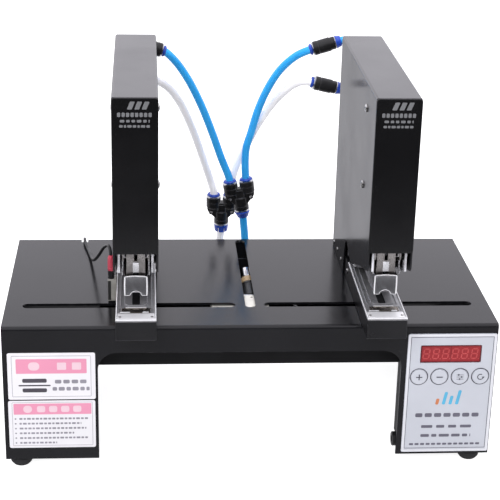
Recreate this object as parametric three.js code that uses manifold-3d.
// Twin-head, long-reach pneumatic bench stapler.
// Millimetres, +Z up. The origin is the centre of the footprint, on the plane the rubber feet
// stand on. +X runs along the bench to the right, +Y away from the operator.
//
// Inside the "bench" group z = 0 is the deck's top, y = 0 its front edge and x = 0 its middle.
import * as THREE from 'three';
import { mergeVertices } from 'three/addons/utils/BufferGeometryUtils.js';
import Module from 'manifold-3d';

const wasm = await Module();
wasm.setup();

// ---------------------------------------------------------------- driving dimensions
const DECK_W = 400;
const DECK_D = 196;
const SHEET = 2;             // folded sheet of the bench
const LEG_H = 118;           // deck top to the foot of the sheet legs
const FOOT_H = 8;            // rubber foot
const FOOTPRINT_MID = 98.7;  // bench y of the footprint's centre
const SLOT_Y = 43;           // centre line of the two cross slots
const HEAD_X = { left: -93.1, right: 103.55 };   // head centre lines
const HEAD_HALF = 17.45;     // half width of a head housing
const HEAD_TOP = 194.3;
const HEAD_BACK = 181.3;
const PIN = { y: 95, z: 25, radius: 3, hole: 3.12 };   // jaw pivot
const TUBE_R = 3.2;          // air hose
const BORE_R = 4;            // push-in bore the hose sits in

// Colour, roughness and metalness of each piece or kind of piece.
const BLACK = 0x1b1b1e;
const CHROME = 0xc9cbd0;
const STEEL = 0x9a9896;
const FINISH = {
  table_shell: [BLACK, 0.15, 0.1],
  foot: [0x161616, 0.75, 0],
  under_tray: [0x141416, 0.35, 0.1],
  valve_body: [0xe6ded0, 0.4, 0.2],
  valve_coil: [0x1c1c1f, 0.55, 0],
  control_box: [0x18181a, 0.3, 0.1],
  power_socket: [0x101012, 0.45, 0],
  control_panel: [0xd9d9e4, 0.45, 0],
  display_window: [0x8a1518, 0.1, 0],
  button: [0xe2e2ea, 0.4, 0],
  circuit_board: [0x1f5a34, 0.5, 0],
  wye: [0x161618, 0.5, 0],
  blue: [0x2a8fe0, 0.25, 0],
  clear: [0xe6e9f4, 0.25, 0],
  union: [0x17171a, 0.45, 0],
  paper_switch: [0x8c8880, 0.4, 0.5],
  switch_cable: [0x111112, 0.5, 0],
  // stapling heads
  housing: [BLACK, 0.12, 0.1],
  front_cover: [BLACK, 0.25, 0.1],
  inner_frame: [CHROME, 0.25, 0.9],
  air_cylinder: [0xb9bcc0, 0.3, 0.8],
  ram: [CHROME, 0.15, 0.95],
  arm_block: [BLACK, 0.3, 0.1],
  clamp_bar: [STEEL, 0.4, 0.8],
  base_plate: [CHROME, 0.12, 1],
  anvil: [STEEL, 0.3, 0.9],
  magazine: [CHROME, 0.15, 1],
  follower: [STEEL, 0.35, 0.8],
  driver: [STEEL, 0.3, 0.9],
  hinge_pin: [CHROME, 0.2, 1],
  lift_spring: [STEEL, 0.3, 0.9],
};

// ---------------------------------------------------------------- solid operations
const toManifold = (geometry) => {
  const bare = new THREE.BufferGeometry();
  bare.setAttribute('position', geometry.attributes.position);
  bare.setIndex(geometry.index);
  const welded = mergeVertices(bare, 1e-4);
  return new wasm.Manifold(new wasm.Mesh({
    numProp: 3,
    vertProperties: new Float32Array(welded.attributes.position.array),
    triVerts: new Uint32Array(welded.index.array),
  }));
};
const toGeometry = (solid) => {
  const mesh = solid.getMesh();
  const geometry = new THREE.BufferGeometry();
  const vertices = new Float32Array(mesh.vertProperties);
  geometry.setAttribute('position', new THREE.BufferAttribute(vertices, 3));
  geometry.setIndex(new THREE.BufferAttribute(new Uint32Array(mesh.triVerts), 1));
  geometry.computeVertexNormals();
  return geometry;
};
const join = (...parts) => toGeometry(parts.map(toManifold).reduce((sum, part) => sum.add(part)));
const cut = (base, ...tools) => toGeometry(
  tools.map(toManifold).reduce((rest, tool) => rest.subtract(tool), toManifold(base)),
);

// ---------------------------------------------------------------- profiles
const { PI } = Math;
const shapeOf = (points) => new THREE.Shape(points.map(([u, v]) => new THREE.Vector2(u, v)));
const addRoundTop = (shape, left, right, top, radius) => {
  shape.lineTo(right, top - radius);
  shape.absarc(right - radius, top - radius, radius, 0, PI / 2, false);
  shape.lineTo(left + radius, top);
  shape.absarc(left + radius, top - radius, radius, PI / 2, PI, false);
};
// rounded rectangle
const roundRect = (left, right, bottom, top, radius) => {
  const shape = new THREE.Shape();
  shape.moveTo(left + radius, bottom);
  shape.lineTo(right - radius, bottom);
  shape.absarc(right - radius, bottom + radius, radius, -PI / 2, 0, false);
  addRoundTop(shape, left, right, top, radius);
  shape.lineTo(left, bottom + radius);
  shape.absarc(left + radius, bottom + radius, radius, PI, 1.5 * PI, false);
  return shape;
};
// straight sides, rounded top corners, square bottom corners
const arch = (left, right, bottom, top, radius) => {
  const shape = new THREE.Shape();
  shape.moveTo(left, bottom);
  shape.lineTo(right, bottom);
  addRoundTop(shape, left, right, top, radius);
  shape.lineTo(left, bottom);
  return shape;
};

// ---------------------------------------------------------------- basic solids
const X = new THREE.Vector3(1, 0, 0);
const Y = new THREE.Vector3(0, 1, 0);
const Z = new THREE.Vector3(0, 0, 1);
const vec = (point) => new THREE.Vector3(...point);

// A prism's profile is a Shape or a list of points; axes are those of profile u, v and depth.
const prism = (profile, depth, axes, origin) => {
  const shape = profile instanceof THREE.Shape ? profile : shapeOf(profile);
  return new THREE.ExtrudeGeometry(shape, { depth, bevelEnabled: false, curveSegments: 4 })
    .applyMatrix4(new THREE.Matrix4().makeBasis(...axes).setPosition(vec(origin)));
};
// profile in (y, z), (x, z) or (x, y), pushed along the third axis
const prismX = (profile, x0, x1) => prism(profile, x1 - x0, [Y, Z, X], [x0, 0, 0]);
const prismY = (profile, y0, y1) =>
  prism(profile, y1 - y0, [X, Z, Y.clone().negate()], [0, y1, 0]);
const prismZ = (profile, z0, z1) => prism(profile, z1 - z0, [X, Y, Z], [0, 0, z0]);
const box = (x0, x1, y0, y1, z0, z1) =>
  new THREE.BoxGeometry(x1 - x0, y1 - y0, z1 - z0)
    .translate((x0 + x1) / 2, (y0 + y1) / 2, (z0 + z1) / 2);
// the same box or profile plate at +x and, mirrored, at -x
const boxPair = (x0, x1, ...rest) => [box(-x1, -x0, ...rest), box(x0, x1, ...rest)];
const platePair = (profile, x0, x1) => [prismX(profile, -x1, -x0), prismX(profile, x0, x1)];

// Cylinder from start to end; across0 and across1 are its other two coordinates, in xyz order.
const rod = (axis, radius, start, end, across0, across1, sides) => {
  const geometry = new THREE.CylinderGeometry(radius, radius, end - start, sides);
  const middle = (start + end) / 2;
  if (axis === 'x') return geometry.rotateZ(PI / 2).translate(middle, across0, across1);
  if (axis === 'y') return geometry.translate(across0, middle, across1);
  return geometry.rotateX(PI / 2).translate(across0, across1, middle);
};

// Turned piece about z; the profile is (radius, z) from the axis round to the axis.
const turned = (profile, sides) => {
  const geometry = new THREE.LatheGeometry(shapeOf(profile).getPoints(), sides).rotateX(PI / 2);
  const index = geometry.index.array;
  const corner = (i) =>
    new THREE.Vector3().fromBufferAttribute(geometry.attributes.position, index[i]);
  let volume = 0;
  for (let i = 0; i < index.length; i += 3) {
    volume += corner(i).dot(corner(i + 1).cross(corner(i + 2)));
  }
  // a profile run the other way comes out inside out
  if (volume < 0) {
    for (let i = 0; i < index.length; i += 3) {
      [index[i], index[i + 1]] = [index[i + 1], index[i]];
    }
  }
  return geometry;
};

// Polygonal tube along a smooth curve through the points.
const hose = (points, radius, steps, sides) => {
  const section = shapeOf(Array.from({ length: sides }, (_, i) => {
    const angle = (2 * PI * i) / sides;
    return [radius * Math.cos(angle), radius * Math.sin(angle)];
  }));
  section.closePath();
  const extrudePath = new THREE.CatmullRomCurve3(points.map(vec), false, 'centripetal');
  return new THREE.ExtrudeGeometry(section, { steps, bevelEnabled: false, extrudePath });
};

// ---------------------------------------------------------------- scene graph
const stapler = new THREE.Group();
stapler.name = 'bench_stapler';
const bench = new THREE.Group();
bench.position.set(0, -FOOTPRINT_MID, LEG_H + FOOT_H);
stapler.add(bench);

const put = (parent, name, geometry, [color, roughness, metalness]) => {
  const material = new THREE.MeshStandardMaterial({ color, roughness, metalness });
  const mesh = new THREE.Mesh(geometry, material);
  mesh.name = name;
  parent.add(mesh);
  return mesh;
};
// pieces maps each name to the function that makes its geometry
const putAll = (parent, prefix, pieces, ...args) => {
  for (const [name, make] of Object.entries(pieces)) {
    put(parent, prefix + name, make(...args), FINISH[name]);
  }
};

// ---------------------------------------------------------------- bench shell and feet
const FEET = {   // x, y
  foot_front_left: [-188, 9.5],
  foot_front_right: [185.5, 9.5],
  foot_rear_left: [-188, DECK_D - 14],
  foot_rear_right: [188, DECK_D - 14],
};

const deckProfile = () => {
  const frontBend = 3;
  const backBend = 2;
  const shape = new THREE.Shape();
  shape.moveTo(0, -LEG_H);
  shape.lineTo(DECK_D, -LEG_H);
  shape.lineTo(DECK_D, -backBend);
  shape.absarc(DECK_D - backBend, -backBend, backBend, 0, PI / 2, false);
  shape.lineTo(frontBend, 0);
  shape.absarc(frontBend, -frontBend, frontBend, PI / 2, PI, false);
  shape.lineTo(0, -LEG_H);
  return shape;
};

const tableShell = () => {
  const halfW = DECK_W / 2;
  const legLeft = -124;      // inner edges of the legs
  const legRight = 122;
  const apron = 22.7;        // depth of the apron between the legs
  const slotHalf = 4.5;
  const tabInset = 15;
  const tabHalf = 14;
  const below = -LEG_H - 5;
  const inside = roundRect(SHEET, DECK_D - SHEET, -LEG_H - 20, -SHEET, 1);
  const crossSlot = (x0, x1) => prismZ(
    roundRect(x0, x1, SLOT_Y - slotHalf, SLOT_Y + slotHalf, slotHalf - 0.01), -4, 2,
  );
  const tab = (x, y) =>
    box(x - tabHalf, x + tabHalf, y - tabHalf, y + tabHalf, -LEG_H, -LEG_H + SHEET);
  const tabX = halfW - tabInset;
  const tabs = [tabInset, DECK_D - tabInset].flatMap((y) => [tab(-tabX, y), tab(tabX, y)]);
  const hollow = cut(
    prismX(deckProfile(), -halfW, halfW),
    prismX(inside, -halfW + SHEET, halfW - SHEET),
  );
  return cut(
    join(hollow, ...tabs),
    prismY(arch(legLeft, legRight, below, -apron, 15), -5, DECK_D + 5),
    prismX(arch(48, DECK_D - 48, below, -44, 12), -DECK_W, DECK_W),
    crossSlot(-186, -11.5),
    crossSlot(12.4, 186),
    prismZ(roundRect(1 - 4.3, 1 + 4.3, 38, 191, 4.2), -4, 2),   // front-to-back slot
    box(-143.5, -137.5, 187.5, DECK_D + 2, -7, 2),              // cable notch
    box(128.6, 196.4, -1, 3, -56, -12),                         // opening behind the panel
    ...Object.values(FEET).map(([x, y]) => rod('z', 2.8, -LEG_H - 1, -LEG_H + 3, x, y, 12)),
  );
};

const foot = () => turned([
  [0, -FOOT_H], [6.8, -FOOT_H], [8.9, -5], [8.9, -1.4], [7.8, -0.3], [2.5, -0.3], [2.5, 2], [0, 2],
], 12);

put(bench, 'table_shell', tableShell(), FINISH.table_shell);
for (const [name, [x, y]] of Object.entries(FEET)) {
  put(bench, name, foot(), FINISH.foot).position.set(x, y, -LEG_H);
}

// ---------------------------------------------------------------- tray, valve and controls
const VALVE_Z = -21;
const PORT_X = { blue: -13, clear: -25 };
const BUTTON_COUNT = 4;
const BUTTON_PITCH = 16.9;
const BUTTON_Z = -45.8;
const BUTTON_X = Array.from({ length: BUTTON_COUNT }, (_, i) => 137 + BUTTON_PITCH * i);
const SOCKET = { y: 9.5, z: -108.5 };

putAll(bench, '', {
  // folded tray under the deck, closed front and back, with two hose holes in its back
  under_tray: () => cut(
    prismX([
      [20, -3.9], [30, -3.9], [30, -47.7], [165, -47.7], [165, -7.5], [163.5, -7.5],
      [163.5, -46.2], [31.5, -46.2], [31.5, -2.4], [20, -2.4],
    ], -126.4, 126.4),
    ...[-4, -22].map((x) => rod('y', 5.6, 160, 168, x, -32, 16)),
  ),
  // air valve with two hose ports at its back
  valve_body: () => {
    const ports = Object.values(PORT_X);
    return cut(
      join(
        prismY(roundRect(-31, 17, -38, -3.4, 1.2), 41, 71.3),
        ...ports.map((x) => rod('y', 5.4, 70, 75, x, VALVE_Z, 12)),
      ),
      ...ports.map((x) => rod('y', BORE_R, 66, 76, x, VALVE_Z, 8)),
    );
  },
  // solenoid behind the valve
  valve_coil: () => join(
    box(-5.6, 16.6, 71.6, 79.6, -28, -5.2),
    rod('y', 10.8, 79, 109, 5, -16, 16),
    rod('y', 9.6, 108, 120, 5, -14.6, 16),
    rod('y', 10.4, 119, 142, 5, -15.4, 16),
  ),
  // sheet box behind the front of the right leg; it holds the electronics
  control_box: () => {
    const wall = 1.3;
    return cut(
      box(127, 197.2, 2.4, 40, -115.5, -10),
      box(127 + wall, 197.2 - wall, 0, 40 - wall, -115.5 + wall, -10 - wall),
      rod('x', 4.2, 126, 129.5, SOCKET.y, SOCKET.z, 12),
    );
  },
  power_socket: () => cut(
    join(
      rod('x', 6, 119.6, 126.7, SOCKET.y, SOCKET.z, 12),
      rod('x', 3.8, 125, 138, SOCKET.y, SOCKET.z, 12),
    ),
    rod('x', 2.7, 118, 124.5, SOCKET.y, SOCKET.z, 8),
  ),
  control_panel: () => cut(
    prismY(roundRect(126.2, 199.3, -115.5, -7.6, 1.6), -1.4, -0.2),
    box(137, 187.2, -3, 1, -33.4, -17.7),
    ...BUTTON_X.map((x) => rod('y', 7.2, -3, 1, x, BUTTON_Z, 16)),
  ),
  display_window: () => prismY(roundRect(137.3, 186.9, -33.1, -18, 0.6), -1.1, 3),
});

// cap, flange behind the panel, and stem
const button = () => turned([
  [0, 2.6], [6.2, 2.6], [6.8, 2], [6.8, -0.2], [7.8, -0.2], [7.8, -1.4], [2.2, -1.4],
  [2.2, -7], [0, -7],
], 16).rotateX(PI / 2);
BUTTON_X.forEach((x, i) => {
  put(bench, `button_${i + 1}`, button(), FINISH.button).position.set(x, 0, BUTTON_Z);
});

// board with the display block, one switch behind each button, and a block on its back
const circuitBoard = () => join(
  box(131, 194, 10, 11.6, -58, -14),
  box(138.2, 186, 3.4, 10.2, -32.2, -18.8),
  ...BUTTON_X.map((x) => box(x - 3, x + 3, 8.3, 10.2, BUTTON_Z - 3, BUTTON_Z + 3)),
  box(150, 176, 11.4, 14, -54, -44),
);
put(bench, 'circuit_board', circuitBoard(), FINISH.circuit_board);

// ---------------------------------------------------------------- Y unions behind the deck
// Each has two bores on top, BRANCH to either side, and one bore below in a tapered collet.
const WYE = { half: 13.2, branch: 7.3, collet: 7, radius: 6.3, boreDepth: 9.2 };
const turn = (aboutX, aboutY) => new THREE.Quaternion().setFromEuler(new THREE.Euler(
  THREE.MathUtils.degToRad(aboutX), THREE.MathUtils.degToRad(aboutY), 0,
));
const WYES = {
  blue: { at: [1.5, 204.6, 38.6], turn: turn(0, -8.7) },
  clear: { at: [-14.7, 217, 20.8], turn: turn(6, 0) },
};
const onWye = (wye, x, z) =>
  new THREE.Vector3(x, 0, z).applyQuaternion(wye.turn).add(vec(wye.at)).toArray();

const wyeUnion = () => {
  const { half, branch, collet, radius, boreDepth } = WYE;
  const sides = [-branch, branch];
  return cut(
    join(
      ...sides.map((x) => rod('z', radius, 1, half, x, 0, 12)),
      rod('z', radius, -half, 0, 0, 0, 12),
      turned([
        [0, -half - collet], [4.7, -half - collet], [radius, -half + 0.5], [0, -half + 0.5],
      ], 12),
      prismY([
        [-13.3, 0.5], [-13.3, 8], [13.3, 8], [13.3, 0.5], [6.2, -7.5], [-6.2, -7.5],
      ], -4.4, 4.4),
    ),
    ...sides.map((x) => rod('z', BORE_R, half - boreDepth, half + 1, x, 0, 8)),
    rod('z', BORE_R, -half - collet - 1, -half + boreDepth, 0, 0, 8),
  );
};
for (const [name, wye] of Object.entries(WYES)) {
  const mesh = put(bench, `y_union_${name}`, wyeUnion(), FINISH.wye);
  mesh.position.set(...wye.at);
  mesh.quaternion.copy(wye.turn);
}

// ---------------------------------------------------------------- inline unions and hoses
// The start takes the long hose; a short stub (points x, y, z) leaves the end and enters
// the back of the housing.
const UNIONS = {
  right_union_upper: {
    start: [60.1, 190, 179.6], end: [84.6, 190, 187.1],
    stub: [[89, 190, 188.1], [94.2, 189, 188.3], [98, 184.5, 187.4], [98.6, 178, 187]],
  },
  right_union_lower: {
    start: [62.2, 190, 150.1], end: [87.2, 190, 144.4],
    stub: [[90.6, 190, 143.8], [94.8, 189, 143.7], [98, 184.5, 144.2], [98.6, 178, 144.3]],
  },
  left_union_upper: {
    start: [-68.6, 190, 177.3], end: [-90, 190, 183.9],
    stub: [[-95, 190, 185], [-99.5, 188.6, 185.4], [-102.4, 184.4, 185.2], [-102.8, 178, 185]],
  },
  left_union_lower: {
    start: [-78, 190, 151.2], end: [-99.8, 190, 146.2],
    stub: [
      [-101.5, 189.9, 145.8], [-104, 188.4, 145.4], [-105.4, 184.6, 145.2], [-105.6, 178, 145],
    ],
  },
};
const unionAxis = ({ start, end }) => vec(end).sub(vec(start));
const alongUnion = (union, distance) =>
  vec(union.start).addScaledVector(unionAxis(union).normalize(), distance).toArray();

const inlineUnion = (union) => {
  const axis = unionAxis(union);
  const length = axis.length();
  const toAxis = new THREE.Quaternion().setFromUnitVectors(Z, axis.normalize());
  const body = turned([
    [0, 11], [4.3, 11], [4.3, 0], [5.7, 0], [6.2, 3], [6.2, length - 8], [5.6, length],
    [0, length],
  ], 12).applyQuaternion(toAxis).translate(...union.start);
  const stub = hose([alongUnion(union, length - 4), union.end, ...union.stub], TUBE_R, 8, 6);
  return join(body, stub);
};

// Hoses from inline union to Y union: branch side (-1 is left) and middle points x, y, z.
const HOSES = [
  {
    side: 'right', level: 'upper', color: 'blue', branch: 1,
    middle: [
      [47.6, 194.9, 172.4], [34.4, 200.6, 158.2], [24.1, 205.3, 139.5], [16.3, 208, 119.2],
      [10.6, 208.6, 98.3], [6.2, 207.6, 82],
    ],
  },
  {
    side: 'right', level: 'lower', color: 'clear', branch: 1,
    middle: [
      [50.5, 196.7, 147.9], [37.3, 204.7, 135.6], [26.5, 211.2, 120.2], [17.3, 215.9, 103.7],
      [8.8, 218.8, 85.7], [0.9, 219.5, 69.1], [-4.4, 218.9, 53],
    ],
  },
  {
    side: 'left', level: 'upper', color: 'blue', branch: -1,
    middle: [
      [-58.9, 194.6, 167.5], [-47.2, 200.2, 149.5], [-35.2, 204.9, 124.7], [-25, 206.9, 98.8],
      [-16.6, 206.4, 75.3],
    ],
  },
  {
    side: 'left', level: 'lower', color: 'clear', branch: -1,
    middle: [
      [-66.5, 196, 144.5], [-55, 203.5, 128.6], [-45.6, 209.5, 108], [-37.4, 214.3, 86],
      [-30.4, 217, 64.5], [-25, 218.2, 48],
    ],
  },
];
for (const { side, level, color, branch, middle } of HOSES) {
  const union = UNIONS[`${side}_union_${level}`];
  const x = branch * WYE.branch;
  put(bench, `hose_${side}_${color}`, hose([
    alongUnion(union, 9), alongUnion(union, 0), ...middle,
    onWye(WYES[color], x, WYE.half + 4), onWye(WYES[color], x, WYE.half - 8),
  ], TUBE_R, 20, 6), FINISH[color]);
}

// Hoses from Y union, through the tray's back, to the valve: middle points x, y, z.
const SUPPLY = {
  blue: [
    [6.3, 203.6, 2], [7.2, 203, -10], [6.6, 201.6, -24], [4, 194.6, -34.2], [0.5, 182, -36],
    [-4, 164, -32], [-8, 140, -26], [-12.2, 105, -21.4],
  ],
  clear: [
    [-15.6, 218, -8], [-17.2, 216, -22], [-19.4, 207.4, -35.4], [-21, 190, -38.4],
    [-22, 164, -32], [-23.6, 140, -25.6], [-24.8, 105, -21.4],
  ],
};
for (const [color, middle] of Object.entries(SUPPLY)) {
  put(bench, `supply_hose_${color}`, hose([
    onWye(WYES[color], 0, -WYE.half + 8), onWye(WYES[color], 0, -WYE.half - WYE.collet - 1),
    ...middle,
    [PORT_X[color], 86, VALVE_Z], [PORT_X[color], 68, VALVE_Z],
  ], TUBE_R, 24, 6), FINISH[color]);
}

// ---------------------------------------------------------------- the two stapling heads
// Each head is drawn about its own centre line, x = 0.
const COVER_FRONT = -22.6;
const ARM_FRONT = -27.3;
const ARM_HALF = 15.8;       // half width of the lower arm
const PLATE_HALF = 15.85;    // half width of the base plate
const PLATE_BACK = 90;
const PAD_TOP = 18.8;        // raised centre of the base plate
const ANVIL_TOP = 18.5;
const RAM_Y = -2;            // centre line of the air cylinder
const MAGAZINE_BOTTOM = 30.5;
const MAGAZINE_TOP = 46.7;
const DRIVER_TOP = 71.5;

const pinHole = () => rod('x', PIN.hole, -15, 15, PIN.y, PIN.z, 20);

const HEAD_PIECES = {
  // top, back and two cheeks whose lower edge drops towards the back along the throat
  housing: (side) => {
    const skin = 1.3;
    const inner = HEAD_HALF - skin;
    const cheek = [
      [-20.4, HEAD_TOP], [-20.4, 57.6], [-19.2, 55.4], [-16.6, 54], [-9, 51.9], [19, 44.5],
      [66, 27.2], [84, 31.5], [92, 35], [99.4, 35.6], [104.6, 30], [108, 20], [110.5, 8],
      [111, 0.5], [HEAD_BACK, 0.5], [HEAD_BACK, HEAD_TOP],
    ];
    const stubHoles = ['upper', 'lower'].map((level) => {
      const [x, , z] = UNIONS[`${side}_union_${level}`].stub.at(-1);
      return rod('y', BORE_R, HEAD_BACK - 4, HEAD_BACK + 3, x - HEAD_X[side], z, 12);
    });
    return cut(
      prismX(cheek, -HEAD_HALF, HEAD_HALF),
      box(-inner, inner, -30, HEAD_BACK - skin, -5, HEAD_TOP - skin),
      ...stubHoles,
    );
  },
  // face plate with two flanges reaching back inside the housing
  front_cover: () => join(
    prismY(roundRect(-HEAD_HALF, HEAD_HALF, 70.8, HEAD_TOP, 2.6), COVER_FRONT, COVER_FRONT + 1.7),
    ...boxPair(14.4, 15.8, COVER_FRONT + 1.2, -10, 75, 188),
  ),
  // channel that carries the jaw pivot and, on its roof, the air cylinder
  inner_frame: () => {
    const wing = [
      [-18, 99], [-18, 54], [20, 41.6], [66, 24], [80, 20], [106, 20], [106, 99],
    ];
    return cut(
      join(...platePair(wing, 12, 13.7), box(-13.7, 13.7, -18, 106, 97, 99)),
      rod('z', 5.2, 95, 101, 0, RAM_Y, 12),
      pinHole(),
    );
  },
  air_cylinder: () => turned([
    [0, 174], [11.4, 174], [11.4, 106], [4.5, 106], [4.5, 99.3], [13.5, 99.3], [13.5, 108],
    [12.6, 109], [12.6, 167], [13.5, 168], [13.5, 180], [0, 180],
  ], 16).translate(0, RAM_Y, 0),
  // piston and rod, with a domed foot that can roll on the driver as it tilts
  ram: () => turned([
    [0, 160], [11, 160], [11, 150], [4, 150], [4, 78], [5, 77.2], [5, 74.06], [3.8, 73.26],
    [2.5, 72.7], [1.2, 72.4], [0, 72.3],
  ], 16).translate(0, RAM_Y, 0),
  // lower arm, with a key that runs in the cross slot
  arm_block: () => join(
    prismX([
      [ARM_FRONT, 1.2], [ARM_FRONT + 0.8, 0.4], [178, 0.4], [178, 16], [ARM_FRONT, 16],
    ], -ARM_HALF, ARM_HALF),
    prismZ(roundRect(-9, 9, SLOT_Y - 3.6, SLOT_Y + 3.6, 1.5), -2.3, 1),
  ),
  // bar under the deck, with two blind holes from below
  clamp_bar: () => cut(
    prismZ(roundRect(-14, 14, SLOT_Y - 9, SLOT_Y + 9, 2), -8, -2.6),
    ...[-6, 6].map((x) => rod('z', 2.6, -9, -5.5, x, SLOT_Y, 12)),
  ),
  // raised side rims, raised centre with a slot, pocket for the anvil
  base_plate: () => cut(
    join(
      box(-PLATE_HALF, PLATE_HALF, ARM_FRONT, PLATE_BACK, 16.3, 17.6),
      ...boxPair(PLATE_HALF - 1.1, PLATE_HALF, ARM_FRONT, PLATE_BACK, 17, 18.6),
      prismZ(roundRect(-9.2, 9.2, 0.4, 84, 5), 17, PAD_TOP),
    ),
    prismZ(roundRect(-2.8, 2.8, 2.4, 70, 1.5), 17.2, 20),
    prismZ(roundRect(-12, 12, -13, -0.4, 2), 16.9, 20),
  ),
  // block with two shallow round-bottomed grooves
  anvil: () => cut(
    prismZ(roundRect(-11.6, 11.6, -12.6, -0.8, 1.8), 17.2, ANVIL_TOP),
    ...[-3.6, 3.6].map((x) => rod('y', 4.2, -8.6, -3.4, x, ANVIL_TOP + 3.4, 16)),
  ),
  // channel with a closed nose, open at the front of its floor where the staple leaves
  magazine: () => {
    const wall = [
      [-8, MAGAZINE_TOP], [-8, MAGAZINE_BOTTOM], [62, MAGAZINE_BOTTOM], [82, 24], [89, 20],
      [101, 20], [102, 31], [82, MAGAZINE_TOP],
    ];
    return cut(
      join(
        ...platePair(wall, 8, 9),
        box(-9, 9, -8, -7, MAGAZINE_BOTTOM, MAGAZINE_TOP),
        box(-8.5, 8.5, -2, 62, MAGAZINE_BOTTOM, MAGAZINE_BOTTOM + 1),
      ),
      rod('y', 4.6, -10, -6.5, 0, 29.6, 20),
      pinHole(),
    );
  },
  follower: () => join(
    box(-7.5, 7.5, 28, 31, 32, 44),
    box(-4, 4, 30, 44, 32, 40),
    box(-7.5, 7.5, 42, 44, 32, 42),
  ),
  // lever on the jaw pivot, carrying the blade that pushes one staple out
  driver: () => {
    const lever = [
      [-11, DRIVER_TOP], [-11, 61], [6, 54], [58, 38], [80, 26], [89, 20], [101, 20],
      [102, 31], [80, 58], [58, DRIVER_TOP],
    ];
    return cut(
      join(
        ...platePair(lever, 9.4, 10.6),
        box(-10.6, 10.6, -11, 58, DRIVER_TOP - 1.2, DRIVER_TOP),
        box(-7.4, 7.4, -4.2, -3, 39.5, 71),
      ),
      box(-1.3, 1.3, -5, -2, 58, 66),
      pinHole(),
    );
  },
  hinge_pin: () => rod('x', PIN.radius, -15.6, 15.6, PIN.y, PIN.z, 20),
  // coil between base plate and magazine
  lift_spring: () => {
    const perTurn = 8;
    const steps = 3.5 * perTurn;
    const radius = 5;
    const wire = 0.6;        // wire radius
    const gap = 0.25;        // clearance at each end
    const bottom = PAD_TOP + wire + gap;
    const top = MAGAZINE_BOTTOM - wire - gap;
    const points = Array.from({ length: steps + 1 }, (_, i) => {
      const angle = (2 * PI * i) / perTurn;
      const z = bottom + ((top - bottom) * i) / steps;
      return [radius * Math.cos(angle), 45 + radius * Math.sin(angle), z];
    });
    return hose(points, wire, steps, 4);
  },
};

for (const [side, x] of Object.entries(HEAD_X)) {
  const head = new THREE.Group();
  head.position.set(x, 0, 0);
  bench.add(head);
  putAll(head, `${side}_`, HEAD_PIECES, side);
}
for (const [name, union] of Object.entries(UNIONS)) {
  put(bench, name, inlineUnion(union), FINISH.union);
}

// ---------------------------------------------------------------- paper switch
putAll(bench, '', {
  // at the left side of the left arm
  paper_switch: () => join(
    box(-115.3, -109.3, 50, 61, 1, 20),
    rod('z', 2.7, 19.5, 27, -113.7, 54, 10),
    rod('z', 2.8, 26.5, 40, -113.7, 54, 10),
  ),
  // over the deck and down through the notch in its back edge; points x, y, z
  switch_cable: () => hose([
    [-113.9, 55, 41.6], [-115.2, 60, 45.2], [-119, 74, 40], [-125.5, 98, 22],
    [-131, 128, 6.5], [-135.5, 158, 2.6], [-139, 176, 2.6], [-140.3, 186, 3.2],
    [-140.5, 191.2, 1.4], [-140.5, 191.9, -7], [-140, 190, -18], [-136, 180, -26],
  ], 1.3, 18, 5),
});

export default stapler;
